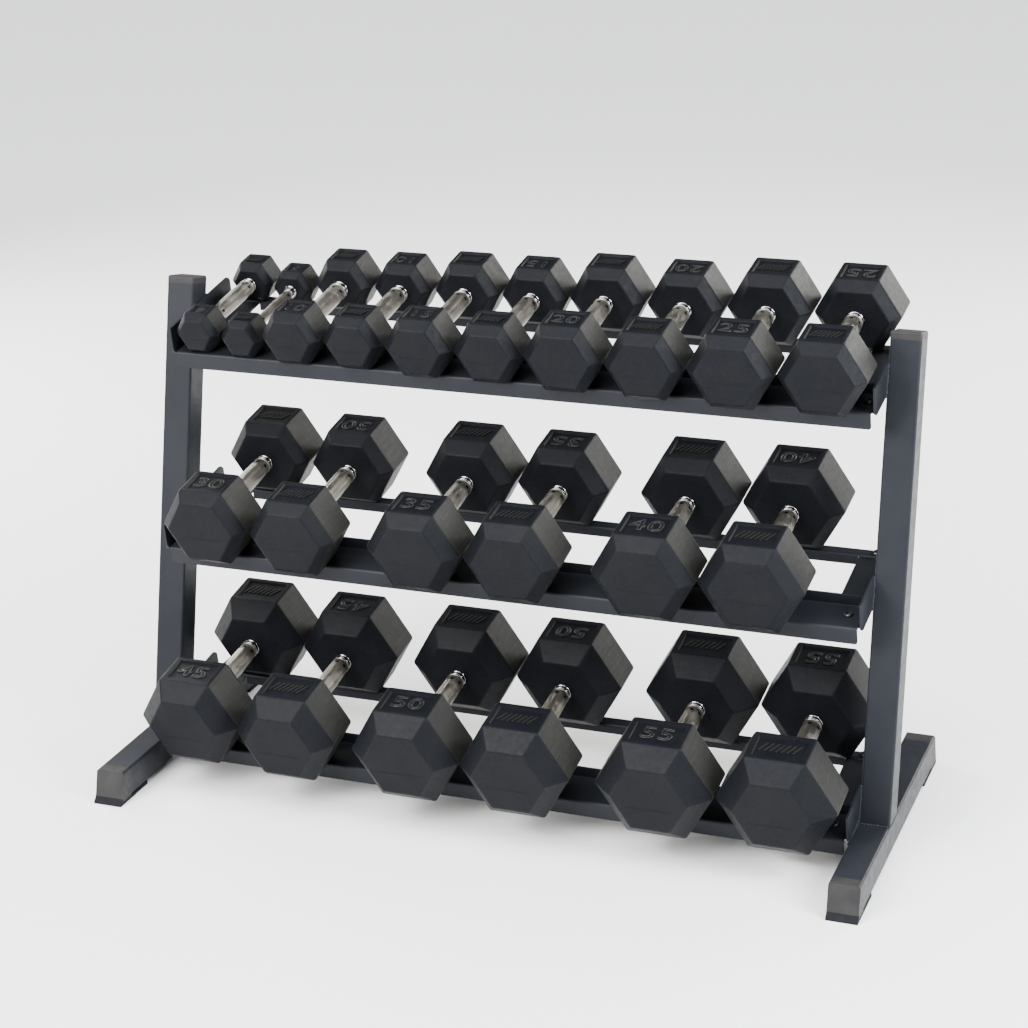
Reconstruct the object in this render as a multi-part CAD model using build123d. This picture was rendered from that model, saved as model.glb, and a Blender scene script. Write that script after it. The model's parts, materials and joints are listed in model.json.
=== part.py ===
from build123d import *
import os
from collections import namedtuple
from math import cos, radians, sin, sqrt, tan

# A tiered rack loaded with rubber-covered hexagonal dumbbells.
# Millimetres.  X runs along the rails, -Y is the side that the user stands at, +Z is up,
# and the origin is on the floor below the middle of the rack.

# ---- rack frame ----
WIDTH = 1160.0               # over the outer faces of the two foot tubes
TUBE = 44.45                 # outside of the square tube
TUBE_WALL = 2.5
TUBE_CORNER = 3.5            # outside corner radius of the tube
PAD_HEIGHT = 5.0             # rubber below the foot tubes
FOOT_TOP = PAD_HEIGHT + TUBE
FOOT_HALF_LENGTH = 258.5     # to the toe of a pad, front and rear alike
TUBE_HALF_LENGTH = 222.0     # where the tube stops inside its end caps
FRONT_CAP_BEND = 240.0       # where a cap's top turns down into its sloping face
REAR_CAP_BEND = 246.0
LEAN = 11.75                 # the uprights lean back by this many degrees
UPRIGHT_FOOT_Y = -64.2       # front face of an upright where it meets the foot
UPRIGHT_LENGTH = 683.6       # along its front face
TOP_CAP_HEIGHT = 11.0

# ---- trays ----
SHEET = 3.0
BEND_INSIDE = 1.0
BEND_OUTSIDE = BEND_INSIDE + SHEET
TRAY_TILT = 9.0              # a tray rises to the rear by this many degrees
BOTTOM_BEND_Y = -126.0       # front upper edge of the bottom tray
BOTTOM_BEND_Z = 52.7
TIER_PITCH = 291.1
TIERS = {"bottom": 0, "middle": 1, "top": 2}
RAIL_HALF_LENGTH = 528.4
FRONT_FLOOR = 59.0           # clear depth of the front rail, up to its upstand
UPSTAND = 16.0
FRONT_LIP = 25.0
LIP_CORNER = 3.0
REAR_RAIL_START = 196.0
REAR_RAIL_END = 214.0
REAR_LIP = 16.0
BRACKET_WEB_TOP = 38.0       # above the floor of the tray
BRACKET_WEB_END = 200.0
BRACKET_WIDTH = 50.5
BRACKET_CORNER = 11.0
BOLT_RADIUS = 4.0
BOLT_HOLE_RADIUS = 4.5
BOLT_HEAD_RADIUS = 6.5
BOLT_HEAD_HEIGHT = 4.0
SOCKET_RADIUS = 2.9
SOCKET_DEPTH = 2.4
NUT_RADIUS = 7.5             # across corners, halved
NUT_HEIGHT = 6.8
BOLT_X = {"bottom": 509.0, "middle": 509.0, "top": 519.0}
FRONT_BOLT_DEPTH = 33.0      # behind the front bend
REAR_BOLT_DEPTH = 206.0
DRAIN_RADIUS = 2.0
DRAINS = {"middle_front_rail": [(75.0, 24.0), (440.0, 19.0)],
          "bottom_rear_rail": [(117.0, 207.0), (438.0, 207.0)]}

# ---- dumbbells ----
# corners: head across its corners; body: length of the full hexagon; bevel: length of the
# taper at each end; end: small hexagon over large; pitch: head to head, same point on each
Head = namedtuple("Head", "corners body bevel end pitch")
HEADS = {
    5: Head(67.8, 34.0, 9.6, 0.74, 184.0),
    8: Head(72.2, 34.6, 11.8, 0.72, 190.0),
    10: Head(95.4, 46.0, 14.4, 0.74, 193.0),
    15: Head(105.4, 48.0, 15.3, 0.74, 199.0),
    20: Head(118.0, 53.0, 15.1, 0.755, 203.4),
    25: Head(127.3, 57.5, 16.6, 0.765, 208.6),
    30: Head(137.4, 60.4, 17.7, 0.768, 224.8),
    35: Head(146.0, 61.2, 19.2, 0.728, 228.5),
    40: Head(153.3, 65.0, 18.4, 0.74, 232.2),
    45: Head(159.6, 62.2, 26.5, 0.678, 239.5),
    50: Head(167.0, 62.0, 25.8, 0.665, 237.3),
    55: Head(173.2, 62.6, 27.1, 0.65, 235.8),
}
Grip = namedtuple("Grip", "collar neck shoulder barrel tail")      # radii
LARGE_GRIP = Grip(13.75, 11.6, 13.6, 14.6, 11.0)
GRIPS = {5: Grip(10.5, 7.2, 8.0, 8.3, 7.0), 8: Grip(11.5, 9.8, 12.0, 13.0, 9.0)}
COLLAR_LENGTH = 3.5
NECK_LENGTH = 9.0
TAIL_SHARE = 0.6             # of a head's body that the bar runs through
COVER_RATIO = 0.04           # rubber thickness over the head's width across corners

# Each dumbbell: name, weight, tier, x of its axis, and how far the full hexagon of its
# front head starts behind the front bend of the tray (less than 0 overhangs)
Place = namedtuple("Place", "name weight tier x start")
PLACES = [
    Place("8lb", 8, "top", -491.6, 8.3),
    Place("5lb", 5, "top", -417.1, 2.8),
    Place("10lb_a", 10, "top", -331.4, -4.3),
    Place("10lb_b", 10, "top", -233.6, -2.0),
    Place("15lb_a", 15, "top", -127.3, -10.7),
    Place("15lb_b", 15, "top", -20.3, -9.0),
    Place("20lb_a", 20, "top", 94.3, -16.1),
    Place("20lb_b", 20, "top", 214.5, -17.9),
    Place("25lb_a", 25, "top", 339.5, -21.2),
    Place("25lb_b", 25, "top", 467.3, -17.8),
    Place("30lb_a", 30, "middle", -447.4, -25.7),
    Place("30lb_b", 30, "middle", -304.0, -29.0),
    Place("35lb_a", 35, "middle", -109.5, -34.6),
    Place("35lb_b", 35, "middle", 39.3, -33.5),
    Place("40lb_a", 40, "middle", 236.3, -37.8),
    Place("40lb_b", 40, "middle", 390.3, -33.3),
    Place("45lb_a", 45, "bottom", -455.0, -37.0),
    Place("45lb_b", 45, "bottom", -294.6, -44.0),
    Place("50lb_a", 50, "bottom", -101.7, -50.0),
    Place("50lb_b", 50, "bottom", 66.3, -50.3),
    Place("55lb_a", 55, "bottom", 273.5, -49.0),
    Place("55lb_b", 55, "bottom", 447.8, -44.5),
]

INNER_FACE = WIDTH / 2 - TUBE          # inner side of a foot tube and of an upright
TUBE_X = WIDTH / 2 - TUBE / 2
SIDES = {"left": -1, "right": 1}


def tray_frame(tier):
    """Place of a tray: its own Y runs back along its floor from the front bend."""
    level = TIERS[tier]
    rise = level * TIER_PITCH
    back = rise * tan(radians(LEAN))
    return Pos(0, BOTTOM_BEND_Y + back, BOTTOM_BEND_Z + rise) * Rot(X=TRAY_TILT)


def box_between(low, high):
    """Block given by two opposite corners."""
    size = [b - a for a, b in zip(low, high)]
    middle = [(a + b) / 2 for a, b in zip(low, high)]
    return Pos(*middle) * Box(*size)


def square_tube(length):
    """Square tube along +Z from the origin, with rounded corners."""
    bore = TUBE - 2 * TUBE_WALL
    section = RectangleRounded(TUBE, TUBE, TUBE_CORNER)
    section -= RectangleRounded(bore, bore, TUBE_CORNER - TUBE_WALL)
    return extrude(section, length)


def spigot(length):
    """Hollow plug that holds a cap in a tube, from the origin along -Z."""
    outside = TUBE - 2 * TUBE_WALL - 0.4
    section = RectangleRounded(outside, outside, 1.0) - Rectangle(outside - 5, outside - 5)
    return extrude(section, -length)


def foot_tube(side):
    lying = Pos(side * TUBE_X, -TUBE_HALF_LENGTH, PAD_HEIGHT + TUBE / 2) * Rot(X=-90)
    return lying * square_tube(2 * TUBE_HALF_LENGTH)


def across_foot(outline):
    """Solid with this outline in Y and Z, as wide as a foot tube and centred on X = 0."""
    face = make_face(Polyline(*outline, close=True))
    return extrude(Plane.YZ.offset(-TUBE / 2) * face, TUBE)


def foot_end(bend):
    """Cap and pad of a foot's rear end, centred on X = 0."""
    toe = FOOT_HALF_LENGTH
    heel = toe - 86.0
    shelf = 10.5                       # the pad's toe stands this high in front of the cap
    face_slope = 9.6 / (FOOT_TOP - shelf)
    face_low = bend + face_slope * (FOOT_TOP - shelf)
    cap = across_foot([
        (TUBE_HALF_LENGTH, PAD_HEIGHT), (face_low - 3, PAD_HEIGHT), (face_low - 3, shelf),
        (face_low, shelf), (bend, FOOT_TOP), (TUBE_HALF_LENGTH, FOOT_TOP)])
    long_top_edges = cap.edges().filter_by(Axis.Y).group_by(Axis.Z)[-1]
    cap = fillet(long_top_edges, TUBE_CORNER)
    cap += Pos(0, TUBE_HALF_LENGTH, PAD_HEIGHT + TUBE / 2) * Rot(X=-90) * spigot(24)
    pad = across_foot([
        (heel, 0), (toe, 0), (face_low, shelf), (face_low - 3, shelf),
        (face_low - 3, PAD_HEIGHT), (heel, PAD_HEIGHT)])
    low_edge = pad.edges().filter_by(Axis.X).group_by(Axis.Z)[0].sort_by(Axis.Y)[-1]
    pad = fillet(low_edge, 2.0)
    return cap, pad


def foot_ends():
    """Caps and pads of the four ends of the feet."""
    caps = []
    pads = []
    for side in SIDES.values():
        for bend, turn in ((REAR_CAP_BEND, 0), (FRONT_CAP_BEND, 180)):
            place = Pos(side * TUBE_X, 0, 0) * Rot(Z=turn)
            cap, pad = foot_end(bend)
            caps.append(place * cap)
            pads.append(place * pad)
    return caps, pads


def upright_frame(side):
    """Place of an upright: its own Z climbs the tube, its own Y points to the rear."""
    return Pos(side * TUBE_X, UPRIGHT_FOOT_Y, FOOT_TOP) * Rot(X=-LEAN) * Pos(0, TUBE / 2, 0)


def upright(side):
    """Leaning tube, cut level where it is welded to the foot."""
    overlap = TUBE * tan(radians(LEAN)) + 5
    tube = Pos(0, 0, -overlap) * square_tube(UPRIGHT_LENGTH + overlap)
    tube = upright_frame(side) * tube
    below = Pos(side * TUBE_X, UPRIGHT_FOOT_Y, FOOT_TOP - 50) * Box(100, 200, 100)
    return tube - below


def upright_cap(side):
    cap = extrude(RectangleRounded(TUBE, TUBE, TUBE_CORNER), TOP_CAP_HEIGHT)
    cap = fillet(cap.faces().sort_by(Axis.Z)[-1].edges(), 3.0)
    cap += spigot(22)
    return upright_frame(side) * Pos(0, 0, UPRIGHT_LENGTH) * cap


def folded_sheet(outline, bends):
    """Rail of sheet metal with this outline in Y and Z, its bends rounded."""
    face = Sketch() + make_face(Polyline(*outline, close=True))
    for corner, radius in bends:
        vertex = face.vertices().sort_by_distance((*corner, 0))[0]
        face = fillet(vertex, radius)
    return extrude(Plane.YZ.offset(-RAIL_HALF_LENGTH) * face, 2 * RAIL_HALF_LENGTH)


def front_rail():
    back = FRONT_FLOOR + SHEET
    rail = folded_sheet(
        [(0, -FRONT_LIP), (0, 0), (FRONT_FLOOR, 0), (FRONT_FLOOR, UPSTAND),
         (back, UPSTAND), (back, -SHEET), (SHEET, -SHEET), (SHEET, -FRONT_LIP)],
        [((0, 0), BEND_OUTSIDE), ((SHEET, -SHEET), BEND_INSIDE),
         ((FRONT_FLOOR, 0), BEND_INSIDE), ((back, -SHEET), BEND_OUTSIDE)])
    lip_corners = rail.edges().filter_by(Axis.Y).group_by(Axis.Z)[0]
    return fillet(lip_corners, LIP_CORNER)


def rear_rail():
    start = REAR_RAIL_START
    rail = folded_sheet(
        [(start, -REAR_LIP), (start, 0), (REAR_RAIL_END, 0),
         (REAR_RAIL_END, -SHEET), (start + SHEET, -SHEET), (start + SHEET, -REAR_LIP)],
        [((start, 0), BEND_OUTSIDE), ((start + SHEET, -SHEET), BEND_INSIDE)])
    # the lip stops short of the bracket flange at each end
    lip_end = INNER_FACE - BRACKET_WIDTH - 1
    for side in SIDES.values():
        rail -= box_between((min(side * lip_end, side * 600), start - 1, -REAR_LIP - 1),
                            (max(side * lip_end, side * 600), REAR_RAIL_END + 1, -SHEET))
    return rail


def bolt_places(tier):
    """Bolt centres of one tray, on its floor."""
    return [(side * BOLT_X[tier], depth, 0)
            for depth in (FRONT_BOLT_DEPTH, REAR_BOLT_DEPTH) for side in SIDES.values()]


def bolt_holes(tier):
    return [Pos(*place) * Cylinder(BOLT_HOLE_RADIUS, 40) for place in bolt_places(tier)]


def finished_rail(name, tier, rail):
    """Rail with its bolt and drain holes, in its place on the rack."""
    for hole in bolt_holes(tier):
        rail -= hole
    for x, depth in DRAINS.get(name, []):
        rail -= Pos(x, depth, 0) * Cylinder(DRAIN_RADIUS, 20)
    return tray_frame(tier) * rail


def bracket(tier, side):
    """Angle bracket: its web is welded to an upright and its flange carries the rails."""
    web_face = INNER_FACE - SHEET
    low = -2 * SHEET
    web = box_between((web_face, 0, low), (INNER_FACE, BRACKET_WEB_END, BRACKET_WEB_TOP))
    corners = web.edges().filter_by(Axis.X)
    web = fillet([corners.sort_by(lambda e: e.center().Y + e.center().Z)[0],
                  corners.sort_by(lambda e: e.center().Y + e.center().Z)[-1]], BRACKET_CORNER)
    flange = box_between((INNER_FACE - BRACKET_WIDTH, BRACKET_CORNER + 1, low),
                         (INNER_FACE, REAR_RAIL_END, -SHEET))
    both = web + flange
    if side < 0:
        both = mirror(both, Plane.YZ)
    for hole in bolt_holes(tier):
        both -= hole
    return tray_frame(tier) * both


def bolt():
    """Button-head screw, its head resting on Z = 0."""
    head = Pos(0, 0, BOLT_HEAD_HEIGHT / 2) * Cylinder(BOLT_HEAD_RADIUS, BOLT_HEAD_HEIGHT)
    head = fillet(head.edges().group_by(Axis.Z)[-1], 2.8)
    length = 2 * SHEET + NUT_HEIGHT + 2
    shank = Pos(0, 0, -length / 2) * Cylinder(BOLT_RADIUS, length)
    socket = Pos(0, 0, BOLT_HEAD_HEIGHT - SOCKET_DEPTH) * extrude(
        RegularPolygon(SOCKET_RADIUS, 6), SOCKET_DEPTH + 1)
    return head + shank - socket


def nut():
    """Hexagon nut, its upper face on Z = 0."""
    body = extrude(RegularPolygon(NUT_RADIUS, 6), -NUT_HEIGHT)
    return body - Cylinder(BOLT_RADIUS + 0.05, 3 * NUT_HEIGHT)


def bolts_and_nuts():
    bolts = []
    nuts = []
    for tier in TIERS:
        for place in bolt_places(tier):
            on_floor = tray_frame(tier) * Pos(*place)
            bolts.append(on_floor * bolt())
            nuts.append(on_floor * Pos(0, 0, -2 * SHEET) * nut())
    return bolts, nuts


def hexagon(corners, y, height):
    """Upright hexagon standing on a flat, its axis along Y at this height."""
    plane = Plane(origin=(0, y, height), x_dir=(1, 0, 0), z_dir=(0, 1, 0))
    return plane * RegularPolygon(corners / 2, 6)


def head_form(head, y, inset=0.0):
    """Bevelled hexagonal head whose full section starts at y, shrunk by inset all round."""
    height = head.corners * sqrt(3) / 4
    shrink = 2 * inset / cos(radians(30))
    large = head.corners - shrink
    small = head.corners * head.end - shrink
    stations = [(small, y - head.bevel + inset), (large, y),
                (large, y + head.body), (small, y + head.body + head.bevel - inset)]
    return loft([hexagon(size, at, height) for size, at in stations], ruled=True)


def bar(head, grip):
    """Steel handle along Y: a tail inside each head, a collar, a neck, and the barrel."""
    inner = head.body + head.bevel               # inner face of the front head
    outer = head.pitch - head.bevel              # inner face of the rear head
    tail = head.bevel + TAIL_SHARE * head.body
    middle = (inner + outer) / 2
    half = (outer - inner) / 2
    collar_end = half - COLLAR_LENGTH
    barrel_end = collar_end - NECK_LENGTH
    right = [(0, -half - tail), (grip.tail, -half - tail), (grip.tail, -half),
             (grip.collar, -half), (grip.collar, -collar_end), (grip.neck, -collar_end),
             (grip.neck, -barrel_end), (grip.shoulder, -barrel_end)]
    left = [(r, -y) for r, y in reversed(right)]
    barrel = ThreePointArc(right[-1], (grip.barrel, 0), left[0])
    outline = Polyline(*right) + barrel + Polyline(*left) + Line(left[-1], right[0])
    turned = revolve(make_face(outline), Axis.Y)
    return Pos(0, middle, head.corners * sqrt(3) / 4) * turned


def dumbbell(place):
    """Two rubber covers, and the bar with its two iron cores."""
    head = HEADS[place.weight]
    grip = GRIPS.get(place.weight, LARGE_GRIP)
    handle = bar(head, grip)
    height = head.corners * sqrt(3) / 4
    bar_length = head.pitch - head.body + 2 * TAIL_SHARE * head.body
    tail_bore = Pos(0, (head.body + head.pitch) / 2, height) * Rot(X=90) * Cylinder(
        grip.tail, bar_length)
    covers = []
    cores = []
    for y in (0.0, head.pitch):
        outside = head_form(head, y)
        inside = head_form(head, y, COVER_RATIO * head.corners)
        covers.append(outside - inside - tail_bore)
        cores.append(inside - tail_bore)
    at = tray_frame(place.tier) * Pos(place.x, place.start, 0)
    return [at * cover for cover in covers], [at * piece for piece in [handle] + cores]


def write(node, pieces):
    """One STEP file for a node of one or more separate solids."""
    solids = [solid for piece in pieces for solid in piece.solids()]
    shape = solids[0] if len(solids) == 1 else Compound(children=solids)
    export_step(shape, os.path.join("parts", node + ".step"))


os.makedirs("parts", exist_ok=True)
for side_name, side in SIDES.items():
    write(side_name + "_foot_tube", [foot_tube(side)])
    write(side_name + "_upright", [upright(side)])
end_caps, end_pads = foot_ends()
write("foot_end_caps", end_caps)
write("foot_pads", end_pads)
write("upright_top_caps", [upright_cap(side) for side in SIDES.values()])
write("rail_brackets", [bracket(tier, side) for tier in TIERS for side in SIDES.values()])
for tier in TIERS:
    for kind, rail in (("front_rail", front_rail()), ("rear_rail", rear_rail())):
        rail_name = tier + "_" + kind
        write(rail_name, [finished_rail(rail_name, tier, rail)])
rail_bolts, rail_nuts = bolts_and_nuts()
write("rail_bolts", rail_bolts)
write("rail_nuts", rail_nuts)
for place in PLACES:
    covers, steel = dumbbell(place)
    write("heads_" + place.name, covers)
    write("handle_" + place.name, steel)
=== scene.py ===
import json
from collections import namedtuple
from math import cos, pi, radians, sin, sqrt, tan

import bmesh
import bpy
from mathutils import Matrix, Vector

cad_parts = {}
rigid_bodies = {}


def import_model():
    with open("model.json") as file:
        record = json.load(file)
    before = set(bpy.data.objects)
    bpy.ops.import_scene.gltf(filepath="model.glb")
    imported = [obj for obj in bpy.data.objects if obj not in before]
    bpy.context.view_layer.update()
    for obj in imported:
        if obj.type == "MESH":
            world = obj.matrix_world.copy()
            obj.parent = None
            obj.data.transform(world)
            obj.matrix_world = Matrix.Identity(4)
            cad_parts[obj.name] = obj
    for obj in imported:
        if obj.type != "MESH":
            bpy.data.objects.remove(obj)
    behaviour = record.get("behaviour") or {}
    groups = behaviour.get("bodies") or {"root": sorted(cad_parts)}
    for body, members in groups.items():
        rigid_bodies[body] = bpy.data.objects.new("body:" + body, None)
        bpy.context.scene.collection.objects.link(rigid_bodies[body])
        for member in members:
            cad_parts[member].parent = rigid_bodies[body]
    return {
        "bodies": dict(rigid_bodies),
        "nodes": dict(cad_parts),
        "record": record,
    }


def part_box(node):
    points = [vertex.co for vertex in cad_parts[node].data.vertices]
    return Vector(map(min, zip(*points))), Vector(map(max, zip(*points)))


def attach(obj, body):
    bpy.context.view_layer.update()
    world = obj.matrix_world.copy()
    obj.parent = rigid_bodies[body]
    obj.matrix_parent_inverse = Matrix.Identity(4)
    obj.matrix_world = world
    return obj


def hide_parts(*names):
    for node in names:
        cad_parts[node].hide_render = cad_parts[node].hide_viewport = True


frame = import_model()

# A tiered rack and its rubber hexagonal dumbbells, finished around the frame.
# Everything is in metres.  A tray's own axes are the world's, turned by the tray's tilt.

TRAY_TILT = radians(9)
LEAN = radians(11.75)            # of the uprights
TO_WORLD = Matrix.Rotation(TRAY_TILT, 4, "X")
TO_TRAY = TO_WORLD.inverted()
MM = 0.001
NEAR = 0.02 * MM                 # vertices this close count as level with each other
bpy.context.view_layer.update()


# ---------------------------------------------------------------- small helpers

def add(name, mesh):
    """Scene object for a mesh whose place is already in its vertices."""
    thing = bpy.data.objects.new(name, mesh)
    bpy.context.scene.collection.objects.link(thing)
    return thing


def plain_mesh(thing, name):
    """Mesh of an object with its modifiers or curve settings applied; the object goes."""
    bpy.context.view_layer.update()
    evaluated = thing.evaluated_get(bpy.context.evaluated_depsgraph_get())
    mesh = bpy.data.meshes.new_from_object(evaluated)
    mesh.name = name
    bpy.data.objects.remove(thing)
    return mesh


def joined(name, meshes):
    """One mesh from several, which keeps their material slots."""
    parts = [add(name + "_part", mesh) for mesh in meshes]
    with bpy.context.temp_override(active_object=parts[0], object=parts[0],
                                   selected_objects=parts, selected_editable_objects=parts):
        bpy.ops.object.join()
    mesh = parts[0].data
    bpy.data.objects.remove(parts[0])
    mesh.name = name
    return mesh


def shade_smooth(mesh, degrees):
    """Smooth shading, but for edges sharper than an angle."""
    for polygon in mesh.polygons:
        polygon.use_smooth = True
    mesh.set_sharp_from_angle(angle=radians(degrees))


def painted(mesh, material):
    """The mesh with one material."""
    mesh.materials.clear()
    mesh.materials.append(material)
    return mesh


# ---------------------------------------------------------------- materials

class Finish:
    """A node material with short ways to add and join its nodes.

    The colour and roughness given first are flat; color() and roughness() put a pattern in
    their place.
    """

    def __init__(self, name, color, roughness, metallic=0.0, sheen_level=0.5):
        self.material = bpy.data.materials.new(name)
        self.material.use_nodes = True
        self.nodes = self.material.node_tree.nodes
        self.links = self.material.node_tree.links
        self.shader = self.nodes["Principled BSDF"]
        self.shader.inputs["Base Color"].default_value = (*color, 1)
        self.shader.inputs["Roughness"].default_value = roughness
        self.shader.inputs["Metallic"].default_value = metallic
        self.shader.inputs["Specular IOR Level"].default_value = sheen_level
        self.place = self.nodes.new("ShaderNodeTexCoord").outputs["Object"]

    def join(self, source, target):
        """Link an output to an input."""
        self.links.new(source, target)

    def stretched(self, scale, turn=0.0):
        """Object coordinates, turned about X and scaled along each axis."""
        turned = self.nodes.new("ShaderNodeMapping")
        turned.inputs["Rotation"].default_value = (turn, 0, 0)
        self.join(self.place, turned.inputs["Vector"])
        scaled = self.nodes.new("ShaderNodeMapping")
        scaled.inputs["Scale"].default_value = scale
        self.join(turned.outputs["Vector"], scaled.inputs["Vector"])
        return scaled.outputs["Vector"]

    def noise(self, scale, detail=2.0, place=None):
        """Noise with so many cells to the metre, or to the unit of a stretched place."""
        node = self.nodes.new("ShaderNodeTexNoise")
        node.inputs["Scale"].default_value = scale
        node.inputs["Detail"].default_value = detail
        self.join(place or self.place, node.inputs["Vector"])
        return node.outputs["Fac"]

    def between(self, value, low, high, to_low=0.0, to_high=1.0):
        """Smooth step of a value from low to high."""
        node = self.nodes.new("ShaderNodeMapRange")
        node.interpolation_type = "SMOOTHSTEP"
        for key, number in (("From Min", low), ("From Max", high),
                            ("To Min", to_low), ("To Max", to_high)):
            node.inputs[key].default_value = number
        self.join(value, node.inputs["Value"])
        return node.outputs["Result"]

    def math(self, kind, first, second):
        """Result of a math node on two values, each a number or an output."""
        node = self.nodes.new("ShaderNodeMath")
        node.operation = kind
        for socket, value in zip(node.inputs, (first, second)):
            if isinstance(value, (int, float)):
                socket.default_value = value
            else:
                self.join(value, socket)
        return node.outputs[0]

    def mix(self, factor, first, second):
        """Colour between two, each a colour or another mix."""
        node = self.nodes.new("ShaderNodeMix")
        node.data_type = "RGBA"
        self.join(factor, node.inputs["Factor"])
        for key, value in ((6, first), (7, second)):
            if isinstance(value, tuple):
                node.inputs[key].default_value = (*value, 1)
            else:
                self.join(value, node.inputs[key])
        return node.outputs[2]

    def facing(self, axis):
        """How far the surface faces along an axis, either way: 0 to 1."""
        geometry = self.nodes.new("ShaderNodeNewGeometry")
        parts = self.nodes.new("ShaderNodeSeparateXYZ")
        self.join(geometry.outputs["Normal"], parts.inputs[0])
        return self.math("ABSOLUTE", parts.outputs[axis], 0.0)

    def bump(self, heights):
        """Bumps one over another: (height, strength, depth in metres) each."""
        normal = None
        for height, strength, depth in heights:
            node = self.nodes.new("ShaderNodeBump")
            node.inputs["Strength"].default_value = strength
            node.inputs["Distance"].default_value = depth
            self.join(height, node.inputs["Height"])
            if normal:
                self.join(normal, node.inputs["Normal"])
            normal = node.outputs["Normal"]
        self.join(normal, self.shader.inputs["Normal"])

    def attribute(self, name):
        """Value stored on the mesh under a name; 0 where there is none."""
        node = self.nodes.new("ShaderNodeAttribute")
        node.attribute_name = name
        return node.outputs["Fac"]

    def color(self, source):
        """Take the colour from an output."""
        self.join(source, self.shader.inputs["Base Color"])

    def roughness(self, source):
        """Take the roughness from an output."""
        self.join(source, self.shader.inputs["Roughness"])


# shades of head rubber, dark to light, in linear light like all colours here
NAVY_BLACK = (0.0014, 0.0020, 0.0036)
SOFT_BLACK = (0.0026, 0.0031, 0.0046)
GRAIN_GREY = (0.0085, 0.0090, 0.0105)
# grey of the rubbing streaks, and of the painted sheen laid evenly over the side flats
SHEEN_AND_RUB_GREY = (0.034, 0.033, 0.029)


def head_rubber():
    """Moulded rubber: fine grain, faint mottling, grey rubbing streaks on the side flats, and an
    even grey over those flats that is painted sheen.
    """
    finish = Finish("head_rubber", (0.008, 0.009, 0.012), 0.5, sheen_level=0.1)
    mottle = finish.between(finish.noise(24, 3), 0.35, 0.7)
    speckle = finish.between(finish.noise(1100, 1), 0.5, 0.7)
    grain = finish.between(finish.noise(480, 2), 0.42, 0.62)
    lengthwise = finish.stretched((500, 22, 500), -TRAY_TILT)
    rubbed = finish.between(finish.noise(1.0, 5, lengthwise), 0.35, 0.8)
    patches = finish.between(finish.noise(16, 3), 0.35, 0.65, 0.25, 1.0)
    side_flats = finish.between(finish.facing("X"), 0.8, 0.86)
    worn = finish.math("MULTIPLY", finish.math("MULTIPLY", rubbed, patches), side_flats)
    base = finish.mix(mottle, NAVY_BLACK, SOFT_BLACK)
    base = finish.mix(finish.math("MULTIPLY", speckle, 0.5), base, GRAIN_GREY)
    base = finish.mix(finish.math("MULTIPLY", grain, 0.28), base, GRAIN_GREY)
    # the side flats are made greyer all over by which way they face: painted sheen
    base = finish.mix(finish.math("MULTIPLY", side_flats, 0.35), base, SHEEN_AND_RUB_GREY)
    # grey rubbing streaks in patches along the side flats
    finish.color(finish.mix(finish.math("MULTIPLY", worn, 0.6), base, SHEEN_AND_RUB_GREY))
    finish.roughness(finish.between(finish.noise(140, 3), 0.2, 0.8, 0.44, 0.56))
    finish.bump([(finish.noise(1300, 2), 0.35, 0.0004), (grain, 0.22, 0.0003),
                 (finish.noise(90, 2), 0.08, 0.001)])
    return finish.material


def powder_coat():
    """Slate powder coat with its fine orange peel."""
    finish = Finish("slate_powder_coat", (0.014, 0.016, 0.020), 0.42, sheen_level=0.15)
    cloud = finish.between(finish.noise(7, 3), 0.3, 0.7)
    fleck = finish.between(finish.noise(2200, 1), 0.55, 0.75)
    base = finish.mix(cloud, (0.0085, 0.0098, 0.0130), (0.0115, 0.0128, 0.0165))
    finish.color(finish.mix(finish.math("MULTIPLY", fleck, 0.5), base, (0.026, 0.028, 0.033)))
    finish.roughness(finish.between(finish.noise(60, 3), 0.25, 0.75, 0.38, 0.48))
    finish.bump([(finish.noise(1600, 2), 0.3, 0.0003), (finish.noise(420, 1), 0.15, 0.0004)])
    return finish.material


def chrome(name, color, roughness):
    """Plated steel with a little haze, fine wiping marks round the bar and dark patches."""
    finish = Finish(name, color, roughness, metallic=1.0)
    haze = finish.between(finish.noise(60, 4), 0.3, 0.8)
    hazy = finish.mix(haze, color, tuple(0.9 * c for c in color))
    finish.color(finish.mix(finish.attribute("patch"), hazy, (0.008, 0.008, 0.009)))
    finish.roughness(finish.between(haze, 0, 1, roughness * 0.8, roughness * 1.4))
    rings = finish.stretched((30, 1500, 30), -TRAY_TILT)
    finish.bump([(finish.noise(1.0, 2, rings), 0.04, 0.00002)])
    return finish.material


def marked_rubber():
    """Raised marks, handled smoother than the rubber round them."""
    finish = Finish("marked_rubber", (0.01, 0.01, 0.011), 0.4, sheen_level=0.24)
    rub = finish.between(finish.noise(500, 3), 0.35, 0.7)
    finish.color(finish.mix(rub, (0.005, 0.005, 0.0055), (0.014, 0.014, 0.014)))
    finish.bump([(finish.noise(1300, 2), 0.25, 0.0003)])
    return finish.material


def moulded_plastic():
    """Fine-grained black plastic of the caps."""
    finish = Finish("dark_plastic", (0.018, 0.018, 0.019), 0.5, sheen_level=0.22)
    haze = finish.between(finish.noise(40, 3), 0.3, 0.75)
    finish.color(finish.mix(haze, (0.014, 0.014, 0.015), (0.023, 0.022, 0.022)))
    finish.roughness(finish.between(finish.noise(200, 2), 0.3, 0.7, 0.45, 0.58))
    finish.bump([(finish.noise(1100, 2), 0.3, 0.0003)])
    return finish.material


def pad_rubber():
    """Matt black rubber with a little dust."""
    finish = Finish("pad_rubber", (0.006, 0.0065, 0.008), 0.7, sheen_level=0.12)
    dust = finish.between(finish.noise(55, 4), 0.55, 0.85)
    finish.color(finish.mix(dust, (0.005, 0.0055, 0.007), (0.022, 0.021, 0.020)))
    finish.bump([(finish.noise(700, 2), 0.4, 0.0005)])
    return finish.material


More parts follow.
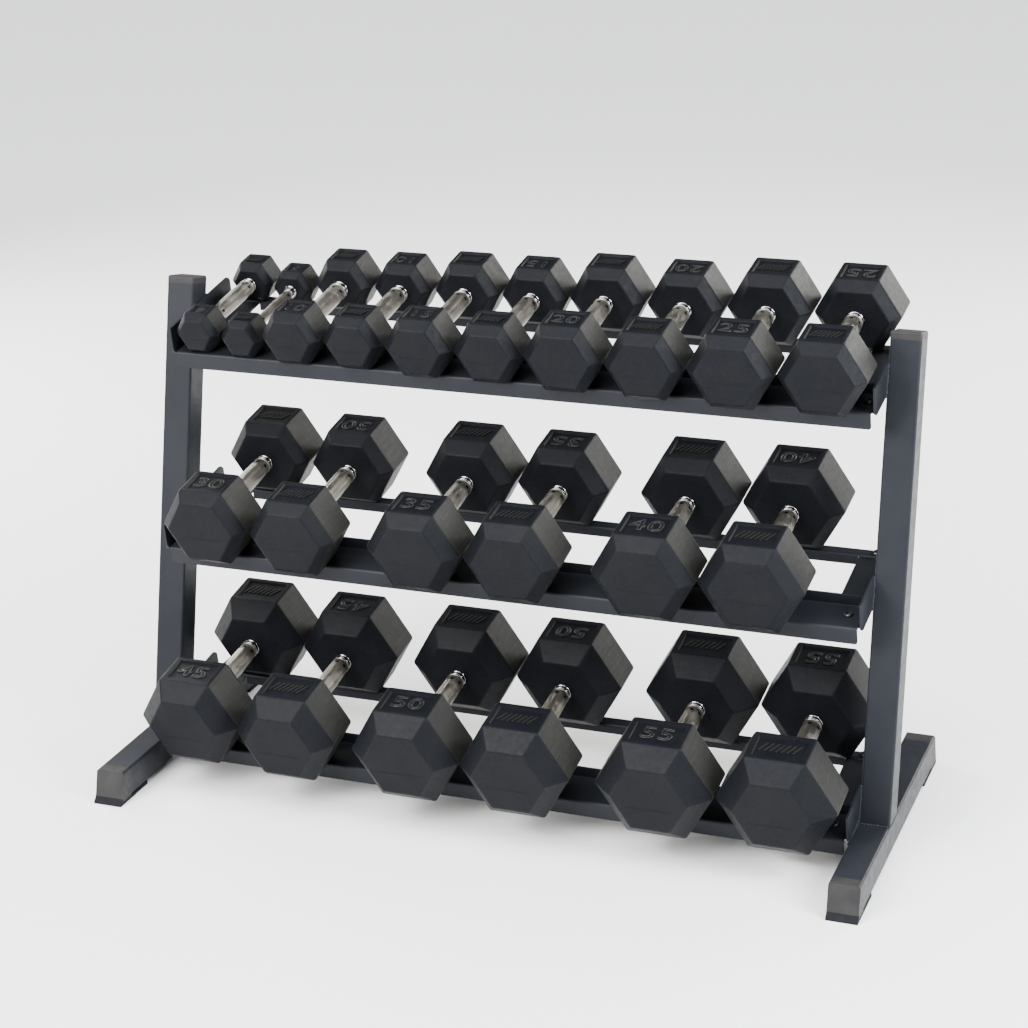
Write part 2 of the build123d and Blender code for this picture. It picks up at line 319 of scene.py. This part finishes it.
def black_steel():
    """Oxide-blacked fasteners, bright where a key has rubbed them."""
    finish = Finish("black_hardware", (0.05, 0.05, 0.052), 0.3, metallic=0.85)
    rub = finish.between(finish.noise(420, 3), 0.52, 0.75)
    finish.color(finish.mix(rub, (0.045, 0.045, 0.048), (0.22, 0.22, 0.22)))
    finish.roughness(finish.between(finish.noise(300, 2), 0.3, 0.7, 0.24, 0.4))
    finish.bump([(finish.noise(900, 2), 0.2, 0.0002)])
    return finish.material


RUBBER = head_rubber()
MARK_RUBBER = marked_rubber()
COAT = powder_coat()
CHROME = chrome("handle_chrome", (0.36, 0.36, 0.36), 0.12)
# the necks' chrome is a much darker copy of the collars' chrome: painted shade where the necks
# sit between collar and barrel
DARKENED_NECK_CHROME = chrome("neck_chrome", (0.03, 0.03, 0.034), 0.18)
KNURLED_CHROME = chrome("knurled_chrome", (0.29, 0.275, 0.24), 0.36)
PLASTIC = moulded_plastic()
PAD = pad_rubber()
STEEL = black_steel()

FINISH_OF_SLOT = {"slate_powder_coat": COAT, "dark_plastic": PLASTIC, "pad_rubber": PAD,
                  "black_hardware": STEEL, "head_rubber": RUBBER, "handle_chrome": CHROME}
for part in frame["record"]["subparts"]:
    painted(frame["nodes"][part["node"]].data, FINISH_OF_SLOT[part["material_slot"]])


# ---------------------------------------------------------------- geometry node trees

class Tree:
    """A Geometry Nodes tree with named inputs."""

    def __init__(self, name, inputs):
        self.group = bpy.data.node_groups.new(name, "GeometryNodeTree")
        face = self.group.interface
        face.new_socket("Geometry", in_out="INPUT", socket_type="NodeSocketGeometry")
        for title, kind in inputs:
            face.new_socket(title, in_out="INPUT", socket_type="NodeSocket" + kind)
        face.new_socket("Geometry", in_out="OUTPUT", socket_type="NodeSocketGeometry")
        self.given = self.group.nodes.new("NodeGroupInput").outputs
        self.result = self.group.nodes.new("NodeGroupOutput").inputs["Geometry"]

    def node(self, kind, **settings):
        """New node with these properties."""
        made = self.group.nodes.new(kind)
        for key, value in settings.items():
            setattr(made, key, value)
        return made

    def feed(self, made, **values):
        """Fill sockets from numbers or other sockets.

        A socket is named with _ for each space, or by _ and its number in the list.
        """
        for key, value in values.items():
            place = int(key[1:]) if key[1:].isdigit() else key.replace("_", " ")
            socket = made.inputs[place]
            if isinstance(value, bpy.types.NodeSocket):
                self.group.links.new(value, socket)
            else:
                socket.default_value = value
        return made

    def math(self, kind, first, second=0.0):
        """Result of a math node on one or two values, each a number or an output."""
        made = self.node("ShaderNodeMath", operation=kind)
        return self.feed(made, _0=first, _1=second).outputs[0]

    def finish(self, geometry, material):
        """Realize the instances, set the material and close the tree."""
        real = self.node("GeometryNodeRealizeInstances")
        self.feed(real, _0=geometry)
        coated = self.node("GeometryNodeSetMaterial")
        self.feed(coated, Geometry=real.outputs[0], Material=material)
        self.group.links.new(coated.outputs[0], self.result)
        return self.group


def grown(name, mesh, group, **values):
    """Mesh that a tree makes from a start mesh and the values of its named inputs."""
    start = add(name, mesh)
    modifier = start.modifiers.new("nodes", "NODES")
    modifier.node_group = group
    for item in group.interface.items_tree:
        key = item.name.replace(" ", "_")
        if item.in_out == "INPUT" and key in values:
            modifier[item.identifier] = values[key]
    return plain_mesh(start, name)


PATCHES = 6                      # dark squares round each end of a barrel
PATCH_FROM_END = 9 * MM
PATCH_HALF_LENGTH = 2.6 * MM


def knurl_tree():
    """Barrel grip along Y: a grid rolled round the bar, every second point raised.

    The points of the grid's first and last rows close up on the axis.
    """
    tree = Tree("knurled_grip", [("Length", "Float"), ("End Radius", "Float"),
                                 ("Middle Radius", "Float"), ("Depth", "Float"),
                                 ("Columns", "Int"), ("Rows", "Int"), ("Material", "Material")])
    given = tree.given
    grid = tree.node("GeometryNodeMeshGrid")
    tree.feed(grid, Size_X=1.0, Size_Y=1.0, Vertices_X=tree.math("ADD", given["Columns"], 1),
              Vertices_Y=tree.math("ADD", given["Rows"], 1))
    spot = tree.node("ShaderNodeSeparateXYZ")
    tree.feed(spot, _0=tree.node("GeometryNodeInputPosition").outputs[0])
    around = tree.math("ADD", spot.outputs["X"], 0.5)
    along = spot.outputs["Y"]
    column = tree.math("ROUND", tree.math("MULTIPLY", around, given["Columns"]))
    row = tree.math("ROUND", tree.math("MULTIPLY", tree.math("ADD", along, 0.5), given["Rows"]))
    peak = tree.math("FLOORED_MODULO", tree.math("ADD", column, row), 2)
    fall = tree.math("MULTIPLY", tree.math("MULTIPLY", along, along), 4)
    crown = tree.math("SUBTRACT", 1.0, fall)
    swell = tree.math("SUBTRACT", given["Middle Radius"], given["End Radius"])
    radius = tree.math("ADD", given["End Radius"], tree.math("MULTIPLY", swell, crown))
    radius = tree.math("ADD", radius, tree.math("MULTIPLY", peak, given["Depth"]))
    inside = tree.math("LESS_THAN", tree.math("ABSOLUTE", along), 0.4999)
    radius = tree.math("MULTIPLY", radius, inside)
    angle = tree.math("MULTIPLY", around, 2 * pi)
    place = tree.node("ShaderNodeCombineXYZ")
    tree.feed(place, X=tree.math("MULTIPLY", radius, tree.math("SINE", angle)),
              Y=tree.math("MULTIPLY", along, given["Length"]),
              Z=tree.math("MULTIPLY", radius, tree.math("COSINE", angle)))
    rolled = tree.node("GeometryNodeSetPosition")
    tree.feed(rolled, Geometry=grid.outputs["Mesh"], Position=place.outputs[0])
    sewn = tree.node("GeometryNodeMergeByDistance")
    tree.feed(sewn, Geometry=rolled.outputs[0], Distance=0.00005)
    split = tree.node("GeometryNodeTriangulate", quad_method="SHORTEST_DIAGONAL")
    tree.feed(split, Mesh=sewn.outputs[0])
    # small dark squares round each end of the barrel
    here = tree.node("ShaderNodeSeparateXYZ")
    tree.feed(here, _0=tree.node("GeometryNodeInputPosition").outputs[0])
    turn = tree.math("ARCTAN2", here.outputs["X"], here.outputs["Z"])
    wave = tree.math("COSINE", tree.math("MULTIPLY", turn, PATCHES))
    squares = tree.math("GREATER_THAN", wave, 0.35)
    from_end = tree.math("SUBTRACT", tree.math("MULTIPLY", given["Length"], 0.5),
                         tree.math("ABSOLUTE", here.outputs["Y"]))
    off_middle = tree.math("ABSOLUTE", tree.math("SUBTRACT", from_end, PATCH_FROM_END))
    band = tree.math("LESS_THAN", off_middle, PATCH_HALF_LENGTH)
    marked = tree.node("GeometryNodeStoreNamedAttribute", data_type="FLOAT", domain="POINT")
    tree.feed(marked, Geometry=split.outputs[0], Name="patch",
              Value=tree.math("MULTIPLY", squares, band))
    return tree.finish(marked.outputs[0], given["Material"])


def bar_row_tree():
    """Row of raised slanting bars along X, centred on the origin."""
    tree = Tree("slanting_bars", [("Count", "Int"), ("Pitch", "Float"), ("Size", "Vector"),
                                  ("Slant", "Float"), ("Material", "Material")])
    given = tree.given
    start = tree.node("ShaderNodeCombineXYZ")
    half = tree.math("MULTIPLY", tree.math("SUBTRACT", given["Count"], 1), -0.5)
    tree.feed(start, X=tree.math("MULTIPLY", half, given["Pitch"]))
    step = tree.node("ShaderNodeCombineXYZ")
    tree.feed(step, X=given["Pitch"])
    line = tree.node("GeometryNodeMeshLine")
    tree.feed(line, Count=given["Count"], Start_Location=start.outputs[0],
              Offset=step.outputs[0])
    block = tree.node("GeometryNodeMeshCube")
    tree.feed(block, Size=given["Size"])
    turn = tree.node("ShaderNodeCombineXYZ")
    tree.feed(turn, Z=given["Slant"])
    bars = tree.node("GeometryNodeInstanceOnPoints")
    tree.feed(bars, Points=line.outputs[0], Instance=block.outputs["Mesh"],
              Rotation=turn.outputs[0])
    return tree.finish(bars.outputs[0], given["Material"])


def weld_tree():
    """Row of overlapping ripples along the edges of the start mesh."""
    tree = Tree("weld_bead", [("Spacing", "Float"), ("Radius", "Float"), ("Seed", "Int"),
                              ("Material", "Material")])
    given = tree.given
    curve = tree.node("GeometryNodeMeshToCurve")
    tree.feed(curve, Mesh=given["Geometry"])
    spread = tree.node("GeometryNodeCurveToPoints", mode="LENGTH")
    tree.feed(spread, Curve=curve.outputs[0], Length=given["Spacing"])
    drop = tree.node("GeometryNodeMeshIcoSphere")
    tree.feed(drop, Radius=given["Radius"], Subdivisions=2)
    size = tree.node("FunctionNodeRandomValue", data_type="FLOAT_VECTOR")
    tree.feed(size, _0=(0.8, 0.8, 0.75), _1=(1.2, 1.15, 1.1), Seed=given["Seed"])
    ripples = tree.node("GeometryNodeInstanceOnPoints")
    tree.feed(ripples, Points=spread.outputs["Points"], Instance=drop.outputs["Mesh"],
              Rotation=spread.outputs["Rotation"], Scale=size.outputs[0])
    return tree.finish(ripples.outputs[0], given["Material"])


KNURL = knurl_tree()
BARS = bar_row_tree()
WELD = weld_tree()


# ---------------------------------------------------------------- dumbbells

# A dumbbell in its tray's axes.  x: of its axis; floor: height of the flats it stands on;
# corners: a head's width across corners; end: small hexagon over large; bevel: length of the
# taper; the rest: where the full hexagon of each head starts and ends, front to rear
Size = namedtuple("Size", "x floor corners end bevel front_start front_end rear_start rear_end")

EDGE_RADIUS = 2.2 * MM
PANEL_DEPTH = 3.0 * MM
PANEL_WALL = 1.6 * MM            # the panel's walls slope in by this much
PANEL_BORDER = 0.066             # this and the next three are over the width across corners
STROKE_RADIUS = 0.0075
BAR_WIDTH = 0.02
BAR_PITCH = 0.046
BAR_HEIGHT = 2.2 * MM
BAR_COUNT = 7
BAR_SLANT = -0.45                # radians
MARK_LIFT = 0.6 * MM             # of a mark's middle above the panel's floor
FIGURE_HEIGHT = 0.62             # this and the next are over the length of the full hexagon
BAR_LENGTH = 0.34
FIGURE_SPREAD = 1.2              # the figures are wider than the font's
LINE_HEIGHT = 0.40               # of the mould line, over the head's height
LINE_LENGTH = 0.6                # over the width of the small hexagon
COLLAR_OVERLAP = 1.5 * MM        # of a collar with the head it stands against
COLLAR_LENGTH = 3.5 * MM
COLLAR_ZONE = 5 * MM             # the collar lies within this of the head
NECK_ZONE = 13 * MM              # the neck ends within this of the head
GRIP_FROM_HEAD = 12.5 * MM
SHOULDER = 0.95                  # radius at the barrel's ends over that of its middle
ROW_PITCH = 1.25 * MM            # between rows of knurl points
THIN_BARREL = 9 * MM             # radius below which a barrel gets the fine knurl
FINE_KNURL = (0.18 * MM, 52)     # height of the points, and how many go round
COARSE_KNURL = (0.25 * MM, 84)


def tray_points(node):
    """Vertices of a CAD node in its tray's own axes."""
    return [TO_TRAY @ vertex.co for vertex in frame["nodes"][node].data.vertices]


def measured(name):
    """Sizes of a dumbbell's two heads, read from the frame."""
    points = tray_points("heads_" + name)
    left = min(p.x for p in points)
    right = max(p.x for p in points)
    x = (left + right) / 2
    corners = right - left
    widest = sorted(p.y for p in points if p.x > right - NEAR)
    middle = (widest[0] + widest[-1]) / 2
    first = min(p.y for p in points)
    tip = max(p.x for p in points if p.y < first + NEAR) - x
    return Size(x=x, floor=min(p.z for p in points), corners=corners, end=2 * tip / corners,
                bevel=widest[0] - first, front_start=widest[0],
                front_end=max(y for y in widest if y < middle),
                rear_start=min(y for y in widest if y > middle), rear_end=widest[-1])


def hexagon(center_x, center_z, corners, y):
    """Six points of a hexagon that stands on a flat; the last and the first are its top."""
    turns = [Matrix.Rotation(radians(60 - 60 * i), 3, "Y") for i in range(6)]
    return [Vector((center_x, y, center_z)) + t @ Vector((-corners / 2, 0, 0)) for t in turns]


def head_mesh(size, start, end):
    """Rubber head with rounded edges and a sunk panel in its top."""
    center_z = size.floor + size.corners * sqrt(3) / 4
    small = size.corners * size.end
    stations = [(small, start - size.bevel), (size.corners, start),
                (size.corners, end), (small, end + size.bevel)]
    form = bmesh.new()
    rings = [[form.verts.new(p) for p in hexagon(size.x, center_z, across, y)]
             for across, y in stations]
    form.faces.new(rings[0])
    form.faces.new(reversed(rings[-1]))
    for front, rear in zip(rings, rings[1:]):
        for i in range(6):
            j = (i + 1) % 6
            face = form.faces.new((front[i], rear[i], rear[j], front[j]))
        if front is rings[1]:
            top = face           # the last face is the one between the two top corners
    bmesh.ops.recalc_face_normals(form, faces=form.faces)
    outside = list(form.edges)
    bmesh.ops.inset_region(form, faces=[top], thickness=PANEL_BORDER * size.corners, depth=0)
    bmesh.ops.inset_region(form, faces=[top], thickness=PANEL_WALL, depth=-PANEL_DEPTH)
    body_edges = [edge for edge in outside if edge.is_valid]
    bmesh.ops.bevel(form, geom=body_edges, offset=EDGE_RADIUS, segments=3, profile=0.5,
                    affect="EDGES", clamp_overlap=True)
    mesh = bpy.data.meshes.new("head")
    form.to_mesh(mesh)
    form.free()
    shade_smooth(mesh, 38)
    part = add("head", mesh)
    part.modifiers.new("flat faces", "WEIGHTED_NORMAL").keep_sharp = True
    return painted(plain_mesh(part, "head"), RUBBER)


def panel_place(size, start, end, facing_back):
    """Matrix from the XY plane to the sunk panel, the right way up from front or rear."""
    top = size.floor + size.corners * sqrt(3) / 2 - PANEL_DEPTH + MARK_LIFT
    place = Matrix.Translation((size.x, (start + end) / 2, top))
    if facing_back:
        place = place @ Matrix.Rotation(pi, 4, "Z")
    return place


def number_mesh(text, size, place):
    """Raised outlines of a weight's number."""
    letters = bpy.data.curves.new("number", "FONT")
    letters.body = text
    letters.align_x = "CENTER"
    letters.align_y = "CENTER"
    letters.size = FIGURE_HEIGHT * (size.front_end - size.front_start)
    letters.space_character = 1.1
    letters.fill_mode = "NONE"
    letters.bevel_depth = STROKE_RADIUS * size.corners
    letters.bevel_resolution = 1
    letters.resolution_u = 4
    mesh = plain_mesh(add("number", letters), "number")
    mesh.transform(place @ Matrix.Diagonal((FIGURE_SPREAD, 1.0, 1.0, 1.0)))
    return painted(mesh, MARK_RUBBER)


def relief_mesh(size, place):
    """Row of slanting bars in place of a mark."""
    depth = size.front_end - size.front_start
    bar = (BAR_WIDTH * size.corners, BAR_LENGTH * depth, BAR_HEIGHT)
    mesh = grown("relief", bpy.data.meshes.new("start"), BARS, Count=BAR_COUNT,
                 Pitch=BAR_PITCH * size.corners, Size=bar, Slant=BAR_SLANT,
                 Material=MARK_RUBBER)
    mesh.transform(place)
    return mesh


def mould_line(size, y):
    """Thin ridge where the two halves of the mould met, on a head's outer face."""
    height = size.floor + LINE_HEIGHT * size.corners * sqrt(3) / 2
    length = LINE_LENGTH * size.corners * size.end
    form = bmesh.new()
    bmesh.ops.create_cube(form, size=1.0)
    bmesh.ops.scale(form, vec=(length, 0.5 * MM, 0.6 * MM), verts=form.verts)
    bmesh.ops.translate(form, vec=(size.x, y, height), verts=form.verts)
    mesh = bpy.data.meshes.new("mould_line")
    form.to_mesh(mesh)
    form.free()
    return painted(mesh, RUBBER)


def turned(name, profile, material, around=40):
    """Closed turned shape about the Y axis from (y, radius) points, ends on the axis."""
    turns = [Matrix.Rotation(2 * pi * i / around, 3, "Y") for i in range(around)]
    form = bmesh.new()
    rings = []
    for y, radius in profile:
        if radius == 0:
            rings.append([form.verts.new((0, y, 0))])
        else:
            rings.append([form.verts.new(t @ Vector((radius, y, 0))) for t in turns])
    for first, second in zip(rings, rings[1:]):
        for i in range(around):
            j = (i + 1) % around
            corners = [first[i % len(first)], first[j % len(first)],
                       second[j % len(second)], second[i % len(second)]]
            form.faces.new(list(dict.fromkeys(corners)))
    bmesh.ops.recalc_face_normals(form, faces=form.faces)
    mesh = bpy.data.meshes.new(name)
    form.to_mesh(mesh)
    form.free()
    shade_smooth(mesh, 50)
    return painted(mesh, material)


def rounded_ring(low, high, root, crest, edge):
    """Profile of a ring from low to high along Y, with rounded outer edges."""
    return [(low, 0), (low, root), (low, crest - edge), (low + 0.3 * edge, crest - 0.3 * edge),
            (low + edge, crest), (high - edge, crest), (high - 0.3 * edge, crest - 0.3 * edge),
            (high, crest - edge), (high, root), (high, 0)]


def handle_meshes(name, size):
    """Plated collars, necks whose chrome is darkened as painted shade, and the knurled barrel
    between them.
    """
    center_z = size.floor + size.corners * sqrt(3) / 4
    inner_front = size.front_end + size.bevel
    inner_rear = size.rear_start - size.bevel
    middle = (inner_front + inner_rear) / 2
    half = (inner_rear - inner_front) / 2
    axis = Vector((size.x, 0, center_z))
    reach = [((p - axis).xz.length, abs(p.y - middle)) for p in tray_points("handle_" + name)
             if abs(p.y - middle) < half - NEAR / 2]
    collar = max(r for r, y in reach if y > half - COLLAR_ZONE)
    neck = min(r for r, y in reach if y > half - NECK_ZONE)
    barrel = max(r for r, y in reach if y < half - NECK_ZONE)
    shoulder = barrel * SHOULDER
    place = Matrix.Translation((size.x, middle, center_z))
    grip_half = half - GRIP_FROM_HEAD
    ring = rounded_ring(-COLLAR_OVERLAP, COLLAR_LENGTH, neck, collar, 1.2 * MM)
    neck_end = GRIP_FROM_HEAD + 1 * MM
    # the necks take the darkened chrome: painted shade
    neck_part = [(0, 0), (0, neck), (neck_end, neck), (neck_end, 0)]
    rib = rounded_ring(GRIP_FROM_HEAD - 5.0 * MM, GRIP_FROM_HEAD - 3.2 * MM,
                       neck, shoulder - 0.3 * MM, 0.6 * MM)
    step = rounded_ring(GRIP_FROM_HEAD - 2.2 * MM, GRIP_FROM_HEAD + 0.4 * MM,
                        neck, shoulder, 0.8 * MM)
    pieces = []
    for end in (-1, 1):
        move = Matrix.Translation((0, end * half, 0))
        if end > 0:
            move = move @ Matrix.Rotation(pi, 4, "Z")
        for profile, material in ((ring, CHROME), (neck_part, DARKENED_NECK_CHROME), (rib, CHROME),
                                  (step, KNURLED_CHROME)):
            mesh = turned("turned", profile, material)
            mesh.transform(place @ move)
            pieces.append(mesh)
    rows = 2 * round(grip_half / ROW_PITCH)
    depth, columns = FINE_KNURL if barrel < THIN_BARREL else COARSE_KNURL
    grip = grown("grip", bpy.data.meshes.new("start"), KNURL, Length=2 * grip_half,
                 End_Radius=shoulder - 0.7 * MM, Middle_Radius=barrel - 0.35 * MM,
                 Depth=depth, Columns=columns, Rows=rows, Material=KNURLED_CHROME)
    grip.transform(place)
    return pieces, grip


def dumbbell(name):
    """Rubber heads, collars and grip of one dumbbell, riding on its body."""
    size = measured(name)
    weight = name.split("lb")[0]
    number_in_front = not name.endswith("_b") and name != "5lb"
    meshes = []
    for is_front, start, end in ((True, size.front_start, size.front_end),
                                 (False, size.rear_start, size.rear_end)):
        meshes.append(head_mesh(size, start, end))
        place = panel_place(size, start, end, not is_front)
        if is_front == number_in_front:
            meshes.append(number_mesh(weight, size, place))
        else:
            meshes.append(relief_mesh(size, place))
        tip = start - size.bevel if is_front else end + size.bevel
        meshes.append(mould_line(size, tip))
    heads = joined("rubber_heads_" + name, meshes)
    collars, grip = handle_meshes(name, size)
    collars = joined("collars_" + name, collars)
    for title, mesh, slot, node in (("rubber_heads_", heads, "head_rubber", "heads_"),
                                    ("collars_", collars, "handle_chrome", "handle_"),
                                    ("grip_", grip, "handle_chrome", "handle_")):
        mesh.transform(TO_WORLD)
        piece = add(title + name, mesh)
        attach(piece, "dumbbell_" + name)
        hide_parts(node + name)


for body in frame["bodies"]:
    if body != "rack":
        dumbbell(body.removeprefix("dumbbell_"))


# ---------------------------------------------------------------- welds on the rack

BEAD_RADIUS = 2.4 * MM
RIPPLE_PITCH = 2.0 * MM
OUTER_INSET = 1.5 * MM           # keeps the outer beads close to the feet
BRACKET_ENDS = (-5 * MM, 37 * MM)    # heights of a bead's ends from the tray's floor


def weld_path(lines):
    """Mesh of bare edges, one strip for each line of points."""
    form = bmesh.new()
    for line in lines:
        points = [form.verts.new(p) for p in line]
        for a, b in zip(points, points[1:]):
            form.edges.new((a, b))
    mesh = bpy.data.meshes.new("weld_path")
    form.to_mesh(mesh)
    form.free()
    return mesh


def upright_edge(side, rear):
    """Function from a height in tray axes to the point there on an upright's inner edge."""
    points = [vertex.co for vertex in frame["nodes"][side + "_upright"].data.vertices]
    across = [p.y * cos(LEAN) - p.z * sin(LEAN) for p in points]
    offset = max(across) if rear else min(across)
    inner = min(abs(p.x) for p in points)
    x = inner if side == "right" else -inner

    def at(level):
        slope = cos(TRAY_TILT) - sin(TRAY_TILT) * tan(LEAN)
        z = (level + sin(TRAY_TILT) * offset / cos(LEAN)) / slope
        return (x, (offset + z * sin(LEAN)) / cos(LEAN), z)
    return at


def welds():
    """Beads where brackets meet uprights, and where uprights stand on the feet."""
    lines = []
    floors = [measured(name).floor for name in ("8lb", "30lb_a", "45lb_a")]
    rail_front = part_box("bottom_front_rail")[0].y
    for side in ("left", "right"):
        low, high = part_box(side + "_upright")
        inner = low.x if side == "right" else high.x
        outer = high.x - OUTER_INSET if side == "right" else low.x + OUTER_INSET
        foot_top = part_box(side + "_foot_tube")[1].z
        depths = [v.co.y for v in frame["nodes"][side + "_upright"].data.vertices
                  if v.co.z < foot_top + 1 * MM]
        front = min(depths)
        rear = max(depths)
        around = [(inner, front, foot_top), (inner, rear, foot_top),
                  (outer, rear, foot_top), (outer, front, foot_top)]
        lines.append(around + around[:1])
        # from the lowest front rail along the foot's inner side and top to the upright
        lines.append([(inner, rail_front + 3 * MM, foot_top - 3 * MM), (inner, front, foot_top)])
        lines.append([(inner, rail_front + 18 * MM, foot_top), (inner, front, foot_top + 5 * MM)])
        for is_rear in (False, True):
            edge = upright_edge(side, is_rear)
            lines += [[edge(level + end) for end in BRACKET_ENDS] for level in floors]
    return grown("weld_beads", weld_path(lines), WELD, Spacing=RIPPLE_PITCH, Radius=BEAD_RADIUS,
                 Seed=7, Material=COAT)


beads = add("weld_beads", welds())
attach(beads, "rack")


# ---------------------------------------------------------------- floor, light and camera

def floor(reach):
    """Pale matt ground that reaches so far each way."""
    mesh = bpy.data.meshes.new("floor")
    corners = [(-reach, -reach, 0), (reach, -reach, 0), (reach, reach, 0), (-reach, reach, 0)]
    mesh.from_pydata(corners, [], [(0, 1, 2, 3)])
    finish = Finish("pale_floor", (0.92, 0.92, 0.92), 0.9)
    add("floor", painted(mesh, finish.material))


def area_light(name, place, width, power, color):
    """Square soft light that looks at the middle of the rack."""
    light = bpy.data.lights.new(name, "AREA")
    light.shape = "SQUARE"
    light.size = width
    light.energy = power
    light.color = color
    lamp = bpy.data.objects.new(name, light)
    lamp.location = place
    lamp.visible_camera = False
    aim = Vector((0, 0, 0.4)) - Vector(place)
    lamp.rotation_euler = aim.to_track_quat("-Z", "Y").to_euler()
    bpy.context.scene.collection.objects.link(lamp)


def camera():
    """Long lens from the front right, a little above the rack."""
    lens = bpy.data.cameras.new("camera")
    lens.lens = 87.35
    lens.sensor_width = 36.0
    lens.shift_x = -0.0105
    lens.shift_y = -0.1202
    view = bpy.data.objects.new("camera", lens)
    azimuth = Matrix.Rotation(radians(20.975), 4, "Z")
    tilt = Matrix.Rotation(radians(90 - 17.637), 4, "X")
    roll = Matrix.Rotation(radians(-1.494), 4, "Z")
    place = Matrix.Translation((1.2391, -3.1622, 1.6987))
    view.matrix_world = place @ (azimuth @ tilt @ roll)
    bpy.context.scene.collection.objects.link(view)
    bpy.context.scene.camera = view


def sky():
    """Dim surroundings with one broad bright patch, high and a little to the front."""
    world = bpy.data.worlds.new("studio")
    world.use_nodes = True
    nodes = world.node_tree.nodes
    links = world.node_tree.links
    direction = nodes.new("ShaderNodeTexCoord")
    towards = nodes.new("ShaderNodeVectorMath")
    towards.operation = "DOT_PRODUCT"
    towards.inputs[1].default_value = Vector((-0.1, -0.38, 0.92)).normalized()
    links.new(direction.outputs["Generated"], towards.inputs[0])
    patch = nodes.new("ShaderNodeMapRange")
    for key, number in (("From Min", 0.78), ("From Max", 0.92),
                        ("To Min", 0.18), ("To Max", 7.0)):
        patch.inputs[key].default_value = number
    links.new(towards.outputs["Value"], patch.inputs["Value"])
    background = nodes["Background"]
    background.inputs["Color"].default_value = (0.97, 0.985, 1.0, 1)
    links.new(patch.outputs["Result"], background.inputs["Strength"])
    bpy.context.scene.world = world


floor(30.0)
area_light("rear_right", (1.7, 2.7, 1.6), 1.5, 115, (1.0, 0.99, 0.95))
area_light("rear_left", (-2.8, 1.2, 1.5), 1.6, 130, (1.0, 0.98, 0.94))
area_light("right", (2.3, -0.7, 1.6), 1.2, 150, (0.95, 0.97, 1.0))
area_light("front_left", (-1.2, -2.4, 1.8), 1.4, 170, (1.0, 0.98, 0.97))
camera()
sky()
